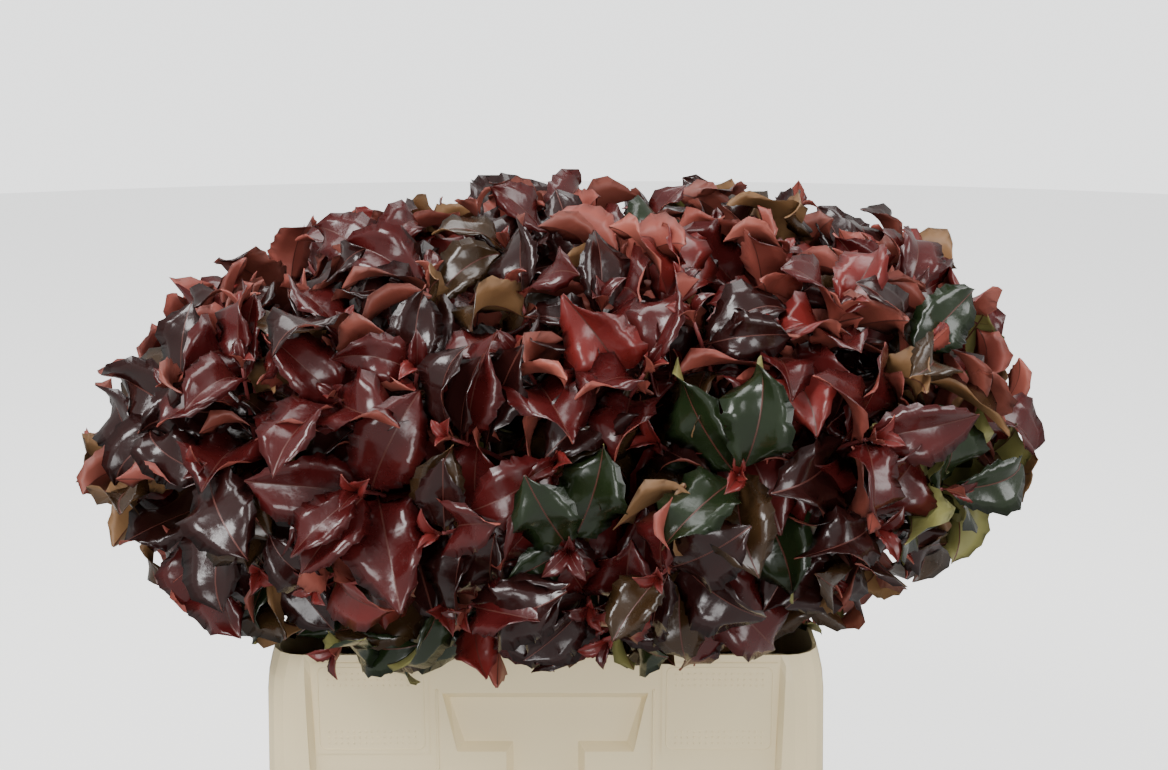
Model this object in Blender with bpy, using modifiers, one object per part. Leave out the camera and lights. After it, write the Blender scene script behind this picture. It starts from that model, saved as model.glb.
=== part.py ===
"""Cut shoots of red tip photinia standing in a cream plastic flower container.

Metres, +Z up. The origin is the middle of the container's flat underside, and the long side that is
seen in the photograph faces -Y. One cut stem stands in each cell of a grid over the container's mouth.
It ends just above the rim, where a mass of foliage goes on from its tip and keeps to the same cell.
"""

import math
import random

import bpy
from mathutils import Vector
from mathutils.bvhtree import BVHTree

# The container: a tub whose four corner columns swell outwards below the rim
RIM_WIDTH = 0.400
RIM_DEPTH = 0.300
CONTAINER_HEIGHT = 0.320
WALL = 0.003
SHOULDER_DROP = 0.033
SHOULDER_BULGE = 0.0055
FOOT_BULGE = 0.012
COLUMN_WIDTH_RIM = 0.025
COLUMN_WIDTH_FOOT = 0.033
GROOVE_WIDTH = 0.004
CORNER_RADIUS = 0.024
CORNER_STEPS = 4
FOOT_CHAMFER = 0.003
LEVEL_DROPS = (0.0, 0.008, 0.018, SHOULDER_DROP, CONTAINER_HEIGHT - FOOT_CHAMFER, CONTAINER_HEIGHT)

# The T-shaped grip pocket in each long side
POCKET_TOP_DROP = 0.028
POCKET_LEDGE_DROP = 0.077
POCKET_FOOT_DROP = 0.150
POCKET_HALF_WIDTH_TOP = 0.0765
POCKET_HALF_WIDTH_LEDGE = 0.066
POCKET_HALF_WIDTH_FOOT = 0.030
POCKET_DEPTH = 0.008
POCKET_DRAFT = 0.006

# The raised label fields beside it, left blank
LABEL_WIDTH = 0.084
LABEL_HEIGHT = 0.071
LABEL_OFFSET = 0.127
LABEL_DROP = 0.0415
LABEL_RAISE = 0.0008

# The grid of stems, in staggered rows: its half size at the rim, and how fast it opens above it
ROWS = (("front", 4), ("middle", 5), ("back", 4))
GRID_HALF_WIDTH = 0.168
GRID_HALF_DEPTH = 0.118
SPREAD_X = 0.57
SPREAD_Y = 0.50
GRID_SLANT = 0.30
STEM_JITTER = 0.06
CELL_GAP = 0.0008

# The cut stems
STEM_FOOT_RADIUS = 0.0050
STEM_TIP_RADIUS = 0.0040
STEM_FOOT_SPREAD = 0.50
STEM_TIP_HEIGHT = 0.010
STEM_STRAIGHT = 0.020
STEM_BEND = 0.45
STEM_POINTS = 6
CLEARANCE = 0.0003

# The crown's outline, measured from the rim: round below its waist, blunt and leaning to +X above
CROWN_HALF_WIDTH = 0.362
CROWN_HALF_DEPTH = 0.288
CROWN_WAIST = 0.100
CROWN_TOP = 0.322
CROWN_HANG = -0.050
CROWN_LEAN = 0.22
CROWN_BLUNTNESS_ABOVE = 2.5
CROWN_BLUNTNESS_BELOW = 1.8

# The shoots inside a mass: a main one, and side shoots that fan out to the crown's outside
MAIN_TIP_RADIUS = 0.0024
SIDE_ROOT_RADIUS = 0.0026
SIDE_TIP_RADIUS = 0.0018
SHOOT_HEADROOM = 0.050
SHOOT_WALL_GAP = 0.012
SHORTEST_SHOOT = 0.050
SHOOT_SPACING = 0.084
SHOOT_ARCH = 0.05
FAN_TRIES = 60
FAN_ANGLE = math.radians(88)
FORK_HIGHEST = 0.55
FORK_LOWEST = 0.06
SHADE = 0.20
BLOCK_MARGIN = 0.002

# The leaves
LEAF_LENGTH = 0.118
LEAF_TIP_SHRINK = 0.22
LEAF_CROWDED_SHRINK = 0.30
LEAF_WIDTH_SHARE = 0.60
LEAF_WIDEST = 0.46
LEAF_THICKNESS = 0.0018
LEAF_FOLD = 0.12
LEAF_ARCH = 0.02
LEAF_RECURVE = 0.20
LEAF_WAVE = 0.08
LEAF_ROLL = 0.6
LEAF_SINK = 0.25
LEAF_FREE_FROM = 0.008
LEAF_SPACING = 0.0115
LEAF_GROWN_AFTER = 0.12
LEAF_TRIES = 40
LEAFLESS_FOOT = 0.02
PITCH_TIP = math.radians(30)
PITCH_FOOT = math.radians(82)
PITCH_LOOSE = math.radians(14)
GOLDEN_ANGLE = math.radians(137.5)
SEED = 43

LEAF_FACES = ((0, 2, 4), (0, 4, 3), (1, 4, 2), (1, 3, 4), (0, 5, 2), (0, 3, 5), (1, 2, 5), (1, 5, 3))

MATERIALS = {
    "cream_plastic": ((0.80, 0.70, 0.50), 0.42),
    "stem_bark": ((0.20, 0.075, 0.055), 0.55),
    "maroon_leaf": ((0.085, 0.022, 0.020), 0.30),
    "red_leaf": ((0.26, 0.045, 0.035), 0.32),
    "bronze_leaf": ((0.20, 0.085, 0.045), 0.34),
}


def clear_scene():
    """Leaves the scene with no objects."""
    for thing in list(bpy.data.objects):
        bpy.data.objects.remove(thing, do_unlink=True)


def make_collection(name):
    collection = bpy.data.collections.new(name)
    bpy.context.scene.collection.children.link(collection)
    return collection


def make_material(name):
    colour, roughness = MATERIALS[name]
    material = bpy.data.materials.new(name)
    material.use_nodes = True
    shader = material.node_tree.nodes["Principled BSDF"]
    shader.inputs["Base Color"].default_value = (*colour, 1.0)
    shader.inputs["Roughness"].default_value = roughness
    shader.inputs["Metallic"].default_value = 0.0
    return material


def add_mesh(name, points, faces, collection):
    mesh = bpy.data.meshes.new(name)
    mesh.from_pydata(points, [], faces)
    made = bpy.data.objects.new(name, mesh)
    collection.objects.link(made)
    return made


def loft_faces(levels, count, close_end=True):
    """The faces of a skin over closed sections, with a cap at the start and, if asked, at the end."""
    faces = [tuple(reversed(range(count)))]
    for level in range(levels - 1):
        low, high = level * count, (level + 1) * count
        for i in range(count):
            j = (i + 1) % count
            faces.append((low + i, low + j, high + j, high + i))
    if close_end:
        faces.append(tuple(range((levels - 1) * count, levels * count)))
    return faces


def loft(name, sections, collection, close_end=True):
    """Skins closed sections of equal point count, which run anticlockwise seen from the last one."""
    points = [p for section in sections for p in section]
    return add_mesh(name, points, loft_faces(len(sections), len(sections[0]), close_end), collection)


def hide_helper(helper):
    helper.hide_render = True
    helper.display_type = "WIRE"


def add_boolean(target, operation, operand):
    modifier = target.modifiers.new(f"{operation.lower()} {operand.name}", "BOOLEAN")
    modifier.operation = operation
    modifier.object = operand
    hide_helper(operand)


# The container

def column_bulge(drop):
    """How far the corner columns stand out of the panels at this depth below the rim."""
    if drop < SHOULDER_DROP:
        return SHOULDER_BULGE * math.sin(math.pi / 2 * drop / SHOULDER_DROP)
    share = (drop - SHOULDER_DROP) / (CONTAINER_HEIGHT - SHOULDER_DROP)
    return SHOULDER_BULGE + (FOOT_BULGE - SHOULDER_BULGE) * share


def corner_points(drop, inset):
    """The corner at +X +Y, from the short side's panel round to the long side's panel."""
    half_x, half_y = RIM_WIDTH / 2 - inset, RIM_DEPTH / 2 - inset
    bulge = column_bulge(drop)
    share = drop / CONTAINER_HEIGHT
    width = COLUMN_WIDTH_RIM + (COLUMN_WIDTH_FOOT - COLUMN_WIDTH_RIM) * share
    points = [(half_x, half_y - width - GROOVE_WIDTH), (half_x + bulge, half_y - width)]
    for step in range(CORNER_STEPS + 1):
        angle = math.pi / 2 * step / CORNER_STEPS
        points.append(
            (
                half_x + bulge - CORNER_RADIUS * (1 - math.cos(angle)),
                half_y + bulge - CORNER_RADIUS * (1 - math.sin(angle)),
            )
        )
    points += [(half_x - width, half_y + bulge), (half_x - width - GROOVE_WIDTH, half_y)]
    return points


def container_section(drop):
    """The closed outline of the container at this depth below the rim."""
    inset = FOOT_CHAMFER if drop == CONTAINER_HEIGHT else 0.0
    corner = corner_points(drop, inset)
    height = CONTAINER_HEIGHT - drop
    outline = []
    for sign_x, sign_y in ((1, 1), (-1, 1), (-1, -1), (1, -1)):
        run = corner if sign_x * sign_y > 0 else reversed(corner)
        outline += [(sign_x * x, sign_y * y, height) for x, y in run]
    return outline


def pocket_section(side, depth, draft, top_draft):
    """The T outline of a pocket, drawn in by its draft, on a plane this deep behind the panel."""
    top = CONTAINER_HEIGHT - POCKET_TOP_DROP - top_draft
    ledge = CONTAINER_HEIGHT - POCKET_LEDGE_DROP + draft
    foot = CONTAINER_HEIGHT - POCKET_FOOT_DROP + draft
    half_top = POCKET_HALF_WIDTH_TOP - draft
    half_ledge = POCKET_HALF_WIDTH_LEDGE - draft
    half_foot = POCKET_HALF_WIDTH_FOOT - draft
    half = [(half_foot, foot), (half_foot, ledge), (half_ledge, ledge), (half_top, top)]
    outline = half + [(-x, z) for x, z in reversed(half)]
    y = RIM_DEPTH / 2 - depth
    return [(-side * x, side * y, z) for x, z in outline]


def pocket_solid(name, side, outer, inner, growth, collection):
    """A pocket's drafted solid from outer depth to inner depth, grown all round by growth."""
    sections = [
        pocket_section(side, inner, POCKET_DRAFT - growth, 1.4 * POCKET_DRAFT - growth),
        pocket_section(side, outer, -growth, -growth),
    ]
    return loft(name, sections, collection)


def label_plate(name, side, sign_x, collection):
    bpy.ops.mesh.primitive_cube_add(size=1.0)
    plate = bpy.context.active_object
    plate.name = name
    thickness = LABEL_RAISE + WALL / 2
    plate.data.transform(plate.matrix_world)
    for vertex in plate.data.vertices:
        vertex.co.x = vertex.co.x * LABEL_WIDTH + sign_x * LABEL_OFFSET
        vertex.co.y = side * (RIM_DEPTH / 2 + LABEL_RAISE - thickness / 2) + vertex.co.y * thickness
        vertex.co.z = vertex.co.z * LABEL_HEIGHT + CONTAINER_HEIGHT - LABEL_DROP
    for holder in list(plate.users_collection):
        holder.objects.unlink(plate)
    collection.objects.link(plate)
    return plate


def make_container(parts, helpers):
    """The tub as one shell: walls and floor of even thickness, pockets pressed in, label fields raised."""
    sections = [container_section(drop) for drop in reversed(LEVEL_DROPS)]
    tub = loft("container", sections, parts, close_end=False)
    shell = tub.modifiers.new("wall", "SOLIDIFY")
    shell.thickness = WALL
    shell.offset = -1
    shell.solidify_mode = "NON_MANIFOLD"
    shell.nonmanifold_thickness_mode = "CONSTRAINTS"
    shell.nonmanifold_merge_threshold = 0.000001
    face_over = 0.002
    for side, place in ((-1, "front"), (1, "back")):
        backing = pocket_solid(f"{place}_backing", side, WALL / 2, POCKET_DEPTH + WALL, WALL, helpers)
        add_boolean(tub, "UNION", backing)
        cutter = pocket_solid(f"{place}_pocket", side, -face_over, POCKET_DEPTH, 0.0, helpers)
        add_boolean(tub, "DIFFERENCE", cutter)
        for sign_x, hand in ((-1, "left"), (1, "right")):
            add_boolean(tub, "UNION", label_plate(f"{place}_{hand}_label", side, sign_x, helpers))
    tub.data.materials.append(make_material("cream_plastic"))
    return tub


# The grid of cells over the container's mouth

def grid_half_sizes(height):
    """Half the grid's width and depth at this height above the rim."""
    return GRID_HALF_WIDTH + SPREAD_X * height, GRID_HALF_DEPTH + SPREAD_Y * height


def grid_point(u, v, height):
    """The point at grid coordinates u and v, from -1 to 1, at this height above the rim."""
    half_x, half_y = grid_half_sizes(height)
    y = v * half_y
    return Vector((u * half_x + GRID_SLANT * y, y, CONTAINER_HEIGHT + height))


def crown_measure(point):
    """Under 1 inside the crown's outline, over 1 outside it."""
    above = point.z - CONTAINER_HEIGHT - CROWN_WAIST
    reach, bluntness = CROWN_WAIST - CROWN_HANG, CROWN_BLUNTNESS_BELOW
    if above > 0:
        reach, bluntness = CROWN_TOP - CROWN_WAIST, CROWN_BLUNTNESS_ABOVE
    across_share = abs(point.x - CROWN_LEAN * above) / CROWN_HALF_WIDTH
    shares = (across_share, abs(point.y) / CROWN_HALF_DEPTH, abs(above) / reach)
    return sum(share**bluntness for share in shares)


class Cell:
    """One place in a row: a wedge between slanting planes, open outwards at the crown's edge."""

    def __init__(self, row, column):
        row_name, columns = ROWS[row]
        self.name = f"{row_name}_{column + 1}"
        self.random = random.Random(SEED * 1000 + column * 10 + row)
        self.low_u, self.high_u = -1 + 2 * column / columns, -1 + 2 * (column + 1) / columns
        self.low_v, self.high_v = -1 + 2 * row / len(ROWS), -1 + 2 * (row + 1) / len(ROWS)
        self.u = (self.low_u + self.high_u) / 2 + self.random.uniform(-STEM_JITTER, STEM_JITTER)
        self.v = (self.low_v + self.high_v) / 2 + self.random.uniform(-STEM_JITTER, STEM_JITTER)

    def holds(self, point):
        """Whether the point is inside this cell and the crown, with the gap to each neighbour."""
        half_x, half_y = grid_half_sizes(point.z - CONTAINER_HEIGHT)
        along_row = point.x - GRID_SLANT * point.y
        walls = (
            (self.low_u > -1, along_row - self.low_u * half_x),
            (self.high_u < 1, self.high_u * half_x - along_row),
            (self.low_v > -1, point.y - self.low_v * half_y),
            (self.high_v < 1, self.high_v * half_y - point.y),
        )
        if any(has_neighbour and distance < CELL_GAP for has_neighbour, distance in walls):
            return False
        return crown_measure(point) < 1

    def shoot_length(self, start, aim, step=0.004):
        """How far a shoot grows from a point, leaving room for its leaves at the crown's outside."""
        distance = 0.0
        while self.holds(start + aim * (distance + step)):
            distance += step
        walled_in = crown_measure(start + aim * (distance + step)) < 1
        return distance - (SHOOT_WALL_GAP if walled_in else SHOOT_HEADROOM)

    def stem_tip(self):
        return grid_point(self.u, self.v, STEM_TIP_HEIGHT)

    def lean(self):
        """The direction in which the stem enters its mass, along the cell's middle line."""
        return (grid_point(self.u, self.v, CROWN_WAIST) - self.stem_tip()).normalized()


# The stems

def stem_path(cell):
    """From the container's floor, first upright, then bending out to the cell's lean."""
    tip = cell.stem_tip()
    foot = Vector((tip.x * STEM_FOOT_SPREAD, tip.y * STEM_FOOT_SPREAD, WALL + CLEARANCE))
    start = foot + Vector((0, 0, STEM_STRAIGHT))
    knee = tip - cell.lean() * (tip.z - start.z) * STEM_BEND
    points = [foot]
    for step in range(STEM_POINTS):
        t = step / (STEM_POINTS - 1)
        points.append(start * (1 - t) ** 2 + knee * 2 * t * (1 - t) + tip * t**2)
    return points


def stem_sections(cell):
    """A four-sided stand-in for the stem's upper part, which leaves are tested against."""
    path = stem_path(cell)[3:]
    reach = STEM_TIP_RADIUS * 1.5
    corners = ((1, 0), (0, 1), (-1, 0), (0, -1))
    return [[place + Vector((x * reach, y * reach, 0)) for x, y in corners] for place in path]


def make_stem(cell, parts):
    """One cut stem, as a tapering tube with flat ends."""
    name = f"stem_{cell.name}"
    path = stem_path(cell)
    curve = bpy.data.curves.new(name, "CURVE")
    curve.dimensions = "3D"
    curve.bevel_depth = STEM_FOOT_RADIUS
    curve.bevel_resolution = 1
    curve.use_fill_caps = True
    spline = curve.splines.new("POLY")
    spline.points.add(len(path) - 1)
    for i, place in enumerate(path):
        share = i / (len(path) - 1)
        spline.points[i].co = (*place, 1.0)
        spline.points[i].radius = 1 + (STEM_TIP_RADIUS / STEM_FOOT_RADIUS - 1) * share
    made = bpy.data.objects.new(name, curve)
    parts.objects.link(made)
    made.data.materials.append(bpy.data.materials["stem_bark"])
    return made


# The foliage

def across(direction):
    """Two unit vectors square to a direction and to each other."""
    side = direction.cross(Vector((0, 0, 1)))
    if side.length < 0.1:
        side = direction.cross(Vector((0, 1, 0)))
    side.normalize()
    return side, direction.cross(side).normalized()


class Shoot:
    """A leafy twig with three sides, bent once at its middle."""

    def __init__(self, start, end, sag, radius_start, radius_end):
        self.start, self.end = start, end
        self.bend = start.lerp(end, 0.5) + sag
        self.radius_start, self.radius_end = radius_start, radius_end
        self.length = (end - start).length

    def at(self, t):
        if t < 0.5:
            return self.start.lerp(self.bend, 2 * t)
        return self.bend.lerp(self.end, 2 * t - 1)

    def direction(self, t):
        run = self.bend - self.start if t < 0.5 else self.end - self.bend
        return run.normalized()

    def radius(self, t):
        return self.radius_start + (self.radius_end - self.radius_start) * t

    def sections(self, sides):
        """Rings of points at its foot, bend and tip, anticlockwise seen from the tip."""
        side, other = across((self.end - self.start).normalized())
        turns = [2 * math.pi * corner / sides for corner in range(sides)]
        outs = [side * math.cos(turn) + other * math.sin(turn) for turn in turns]
        return [[self.at(t) + out * self.radius(t) for out in outs] for t in (0.0, 0.5, 1.0)]


def leaf_points(root, direction, normal, length, wave, sink):
    """The six corners of a folded, arched leaf: base, tip, two sides, and the midrib above and below."""
    side = direction.cross(normal).normalized()
    half_width = length * LEAF_WIDTH_SHARE / 2
    middle = root + direction * (length * LEAF_WIDEST) + normal * (length * LEAF_ARCH)
    edge = middle + normal * (length * LEAF_FOLD)
    return [
        root - direction * sink,
        root + direction * length - normal * (length * LEAF_RECURVE),
        edge + side * half_width + normal * (length * wave),
        edge - side * half_width - normal * (length * wave),
        middle + normal * (LEAF_THICKNESS / 2),
        middle - normal * (LEAF_THICKNESS / 2),
    ]


def leaf_tree(points):
    return BVHTree.FromPolygons(points, LEAF_FACES)


def tube_tree(sections):
    points = [p for section in sections for p in section]
    return BVHTree.FromPolygons(points, loft_faces(len(sections), len(sections[0])))


class Block:
    """The box round the container, which foliage keeps out of."""

    def __init__(self):
        margin = SHOULDER_BULGE + BLOCK_MARGIN
        self.half_x, self.half_y = RIM_WIDTH / 2 + margin, RIM_DEPTH / 2 + margin
        self.top = CONTAINER_HEIGHT + BLOCK_MARGIN
        corners = ((-1, -1), (1, -1), (1, 1), (-1, 1))
        levels = (0.0, self.top)
        self.tree = tube_tree([[(x * self.half_x, y * self.half_y, z) for x, y in corners] for z in levels])

    def covers(self, point):
        return abs(point.x) < self.half_x and abs(point.y) < self.half_y and point.z < self.top


class Mass:
    """The foliage of one stem: a main shoot, its side shoots and their leaves, all inside one cell."""

    def __init__(self, cell, block):
        self.cell = cell
        self.block = block
        self.random = cell.random
        self.leaves = []
        self.shoots = [self.main_shoot()]
        self.add_side_shoots()
        self.stem_tree = tube_tree(stem_sections(cell))
        self.shoot_trees = [tube_tree(shoot.sections(3)) for shoot in self.shoots]
        self.leaf_trees = []

    def main_shoot(self):
        """The shoot that carries on from the stem's tip, up the middle of the cell."""
        lean = self.cell.lean()
        start = self.cell.stem_tip() + lean * CLEARANCE
        end = start + lean * self.cell.shoot_length(start, lean)
        return Shoot(start, end, Vector(), STEM_TIP_RADIUS, MAIN_TIP_RADIUS)

    def add_side_shoots(self):
        """Tries evenly spread directions round the main shoot, and keeps those that reach the light."""
        main = self.shoots[0]
        axis = main.direction(0.5)
        side, other = across(axis)
        turn = self.random.uniform(0, 2 * math.pi)
        for k in range(FAN_TRIES):
            share = math.sqrt((k + 0.5) / FAN_TRIES)
            tilt = FAN_ANGLE * share
            angle = turn + GOLDEN_ANGLE * k
            out = side * math.cos(angle) + other * math.sin(angle)
            aim = axis * math.cos(tilt) + out * math.sin(tilt)
            start = main.at(FORK_HIGHEST + (FORK_LOWEST - FORK_HIGHEST) * share)
            length = self.cell.shoot_length(start, aim)
            if length > SHORTEST_SHOOT:
                sag = Vector((0, 0, SHOOT_ARCH * length * math.hypot(aim.x, aim.y)))
                shoot = Shoot(start, start + aim * length, sag, SIDE_ROOT_RADIUS, SIDE_TIP_RADIUS)
                if self.has_room_for(shoot):
                    self.shoots.append(shoot)

    def has_room_for(self, shoot):
        """Whether a side shoot ends near the crown's outside, clear of the container and other tips."""
        if crown_measure(shoot.end) < SHADE or self.block.covers(shoot.end):
            return False
        if any((shoot.end - other.end).length < SHOOT_SPACING for other in self.shoots):
            return False
        sections = shoot.sections(3)
        if not all(self.cell.holds(point) for section in sections for point in section):
            return False
        return not tube_tree(sections).overlap(self.block.tree)

    def fits(self, points, free_points):
        """Whether a leaf keeps to the cell and touches no stem, shoot, leaf or container."""
        if not all(self.cell.holds(point) for point in points[1:]):
            return False
        if any(self.block.covers(point) for point in points):
            return False
        tree = leaf_tree(free_points)
        others = [self.block.tree, self.stem_tree, *self.shoot_trees, *self.leaf_trees]
        return not any(tree.overlap(other) for other in others)

    def try_leaf(self, shoot, below_tip, turn):
        """Adds a leaf at this distance below a shoot's tip, if one of its seeded tries fits."""
        t = 1 - below_tip / shoot.length
        root, axis = shoot.at(t), shoot.direction(t)
        side, other = across(axis)
        age = min(1.0, below_tip / LEAF_GROWN_AFTER)
        for attempt in range(LEAF_TRIES):
            loose = attempt / LEAF_TRIES
            angle = turn + self.random.uniform(-1, 1) * (0.3 + math.pi * loose)
            pitch = PITCH_TIP + (PITCH_FOOT - PITCH_TIP) * age
            pitch += PITCH_LOOSE * self.random.uniform(-1, 1 + 2 * loose)
            length = LEAF_LENGTH * (1 - LEAF_TIP_SHRINK * (1 - age)) * self.random.uniform(0.90, 1.08)
            length *= 1 - LEAF_CROWDED_SHRINK * loose
            out = side * math.cos(angle) + other * math.sin(angle)
            direction = axis * math.cos(pitch) + out * math.sin(pitch)
            normal = axis * math.sin(pitch) - out * math.cos(pitch)
            roll = self.random.uniform(-LEAF_ROLL, LEAF_ROLL)
            normal = normal * math.cos(roll) + direction.cross(normal) * math.sin(roll)
            wave = self.random.uniform(-LEAF_WAVE, LEAF_WAVE)
            points = leaf_points(root, direction, normal, length, wave, shoot.radius(t) * LEAF_SINK)
            free_points = [root + direction * LEAF_FREE_FROM, *points[1:]]
            if self.fits(points, free_points):
                self.leaves.append(points)
                self.leaf_trees.append(leaf_tree(free_points))
                return

    def grow_leaves(self):
        """Puts leaves round every shoot in a spiral, where there is light, and in a mixed order."""
        places = []
        for shoot in self.shoots:
            turn = self.random.uniform(0, 2 * math.pi)
            count = int(shoot.length * (1 - LEAFLESS_FOOT) / LEAF_SPACING)
            places += [((k + 0.2) * LEAF_SPACING, shoot, turn + GOLDEN_ANGLE * k) for k in range(count)]
        self.random.shuffle(places)
        for below_tip, shoot, turn in places:
            if crown_measure(shoot.at(1 - below_tip / shoot.length)) > SHADE / 4:
                self.try_leaf(shoot, below_tip, turn)

    def build(self, parts, material):
        """Joins the shoots and leaves into one closed solid."""
        name = f"foliage_{self.cell.name}"
        loose = make_collection(f"{name}_loose")
        body = loft(name, self.shoots[0].sections(3), parts)
        for i, shoot in enumerate(self.shoots[1:]):
            loft(f"{name}_shoot_{i}", shoot.sections(3), loose)
        for i, points in enumerate(self.leaves):
            add_mesh(f"{name}_leaf_{i}", points, LEAF_FACES, loose)
        join = body.modifiers.new("join", "BOOLEAN")
        join.operation = "UNION"
        join.operand_type = "COLLECTION"
        join.collection = loose
        join.solver = "MANIFOLD"
        graph = bpy.context.evaluated_depsgraph_get()
        joined = bpy.data.meshes.new_from_object(body.evaluated_get(graph))
        body.modifiers.clear()
        body.data = joined
        for piece in list(loose.objects):
            bpy.data.objects.remove(piece, do_unlink=True)
        bpy.data.collections.remove(loose)
        body.data.materials.clear()
        body.data.materials.append(material)
        return body


def main():
    clear_scene()
    parts = make_collection("potted photinia shoots")
    helpers = make_collection("cutters and guides")
    make_container(parts, helpers)
    make_material("stem_bark")
    leaf_materials = [make_material(name) for name in ("maroon_leaf", "red_leaf", "bronze_leaf")]
    block = Block()
    for row, (_, columns) in enumerate(ROWS):
        for column in range(columns):
            cell = Cell(row, column)
            make_stem(cell, parts)
            mass = Mass(cell, block)
            mass.grow_leaves()
            mass.build(parts, leaf_materials[(column + 2 * row) % len(leaf_materials)])


if __name__ == "__main__":
    main()
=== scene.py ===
"""Cut shoots of red tip photinia in a cream plastic container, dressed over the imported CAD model.

Metres, +Z up. The crown grows by the CAD source's rule, written again here and carried to more and
smaller leaves inside the same cells and the same outline.
"""

import logging
import math
import random
from dataclasses import dataclass, field
from enum import Enum

import bpy
import numpy as np
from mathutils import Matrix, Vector
from mathutils.bvhtree import BVHTree


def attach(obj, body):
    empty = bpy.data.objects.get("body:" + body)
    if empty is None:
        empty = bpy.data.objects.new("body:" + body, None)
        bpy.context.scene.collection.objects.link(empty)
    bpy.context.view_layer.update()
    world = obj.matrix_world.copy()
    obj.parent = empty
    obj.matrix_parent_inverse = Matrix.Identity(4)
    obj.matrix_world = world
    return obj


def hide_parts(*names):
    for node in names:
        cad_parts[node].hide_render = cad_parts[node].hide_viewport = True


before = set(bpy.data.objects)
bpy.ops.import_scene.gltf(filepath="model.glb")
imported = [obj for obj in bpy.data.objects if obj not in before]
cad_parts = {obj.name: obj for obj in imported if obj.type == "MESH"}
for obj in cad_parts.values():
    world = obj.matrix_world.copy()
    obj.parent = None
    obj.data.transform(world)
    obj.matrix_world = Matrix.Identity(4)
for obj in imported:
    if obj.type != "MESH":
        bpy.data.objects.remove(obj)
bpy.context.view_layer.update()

LOG = logging.getLogger("photinia")
Colour = tuple[float, float, float]
GOLDEN_ANGLE = math.radians(137.5)


# Shader nodes

@dataclass
class Value:
    """A number in a material's node tree, which Python's operators work on."""

    net: "Net"
    socket: bpy.types.NodeSocket

    def _maths(self, operation: str, first: object, second: object) -> "Value":
        """Returns the Math node's result for two numbers or values."""
        node = self.net.node("ShaderNodeMath", {"operation": operation}, {0: first, 1: second})
        return Value(self.net, node.outputs[0])

    def __add__(self, other: object) -> "Value":
        """Returns self + other."""
        return self._maths("ADD", self, other)

    def __mul__(self, other: object) -> "Value":
        """Returns self * other."""
        return self._maths("MULTIPLY", self, other)

    __radd__ = __add__
    __rmul__ = __mul__


class Net:
    """The node tree of one material round its Principled shader."""

    def __init__(self, name: str) -> None:
        """Starts a material with this name.

        Args:
            name: the material's name.
        """
        self.material = bpy.data.materials.new(name)
        self.material.use_nodes = True
        self.tree = self.material.node_tree
        self.shader = self.tree.nodes["Principled BSDF"]

    def node(self, kind: str, settings: dict, inputs: dict) -> bpy.types.Node:
        """Adds one node.

        Args:
            kind: the node's type.
            settings: its own settings, set first.
            inputs: numbers, colours, values or sockets for its sockets, by name or place.

        Returns:
            The new node.
        """
        made = self.tree.nodes.new(kind)
        for key, setting in settings.items():
            setattr(made, key, setting)
        for key, given in inputs.items():
            self.feed(made.inputs[key], given)
        return made

    def feed(self, socket: bpy.types.NodeSocket, given: object) -> None:
        """Links or sets one socket.

        Args:
            socket: the socket to feed.
            given: a value, a socket to link from, or a plain number or colour.
        """
        if isinstance(given, Value):
            self.tree.links.new(given.socket, socket)
        elif isinstance(given, bpy.types.NodeSocket):
            self.tree.links.new(given, socket)
        else:
            socket.default_value = given

    def place(self) -> bpy.types.NodeSocket:
        """Returns the object coordinates, which are metres in the part's frame."""
        return self.node("ShaderNodeTexCoord", {}, {}).outputs["Object"]

    def noise(self, scale: float, detail: float = 3.0, stretch: Colour = (1, 1, 1)) -> Value:
        """Adds soft noise over the part's own space.

        Args:
            scale: how many blotches there are in a metre.
            detail: how many finer layers the noise has.
            stretch: the scale along each axis.

        Returns:
            The noise, from 0 to 1.
        """
        mapping = self.node("ShaderNodeMapping", {}, {"Vector": self.place(), "Scale": stretch})
        inputs = {"Vector": mapping.outputs[0], "Scale": scale, "Detail": detail}
        return Value(self, self.node("ShaderNodeTexNoise", {}, inputs).outputs["Fac"])

    def mix(self, share: Value, first: Colour, second: Colour) -> bpy.types.NodeSocket:
        """Mixes two colours.

        Args:
            share: how much of the second colour shows, from 0 to 1.
            first: the colour at 0.
            second: the colour at 1.

        Returns:
            The mixed colour's socket.
        """
        inputs = {"Factor": share, 6: (*first, 1.0), 7: (*second, 1.0)}
        return self.node("ShaderNodeMix", {"data_type": "RGBA"}, inputs).outputs[2]

    def bump(self, height: Value, distance: float, strength: float = 1.0) -> None:
        """Feeds a relief to the shader's normal.

        Args:
            height: the relief, from 0 to 1.
            distance: its depth in metres.
            strength: how much of it shows.
        """
        inputs = {"Height": height, "Distance": distance, "Strength": strength}
        self.feed(self.shader.inputs["Normal"], self.node("ShaderNodeBump", {}, inputs).outputs[0])

    def dress(self, inputs: dict) -> bpy.types.Material:
        """Sets the shader's sockets.

        Args:
            inputs: numbers, colours or links by socket name.

        Returns:
            The finished material.
        """
        for key, given in inputs.items():
            self.feed(self.shader.inputs[key], given)
        return self.material


# Finishes

@dataclass(frozen=True)
class LeafFinish:
    """One side of a leaf: a plain base colour, a soft gloss and a blistered relief."""

    name: str
    colour: Colour
    roughness: float
    coat: float = 0.0
    blister_depth: float = 0.0006
    blister_scale: float = 160.0

    def make(self) -> bpy.types.Material:
        """Returns the material."""
        net = Net(self.name)
        blister = net.noise(self.blister_scale, 2.0)
        net.bump(blister, self.blister_depth, 0.6)
        return net.dress(
            {
                "Base Color": (*self.colour, 1.0),
                "Roughness": blister * 0.16 + (self.roughness - 0.08),
                "Coat Weight": self.coat,
                "Coat Roughness": 0.14,
            }
        )


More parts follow.
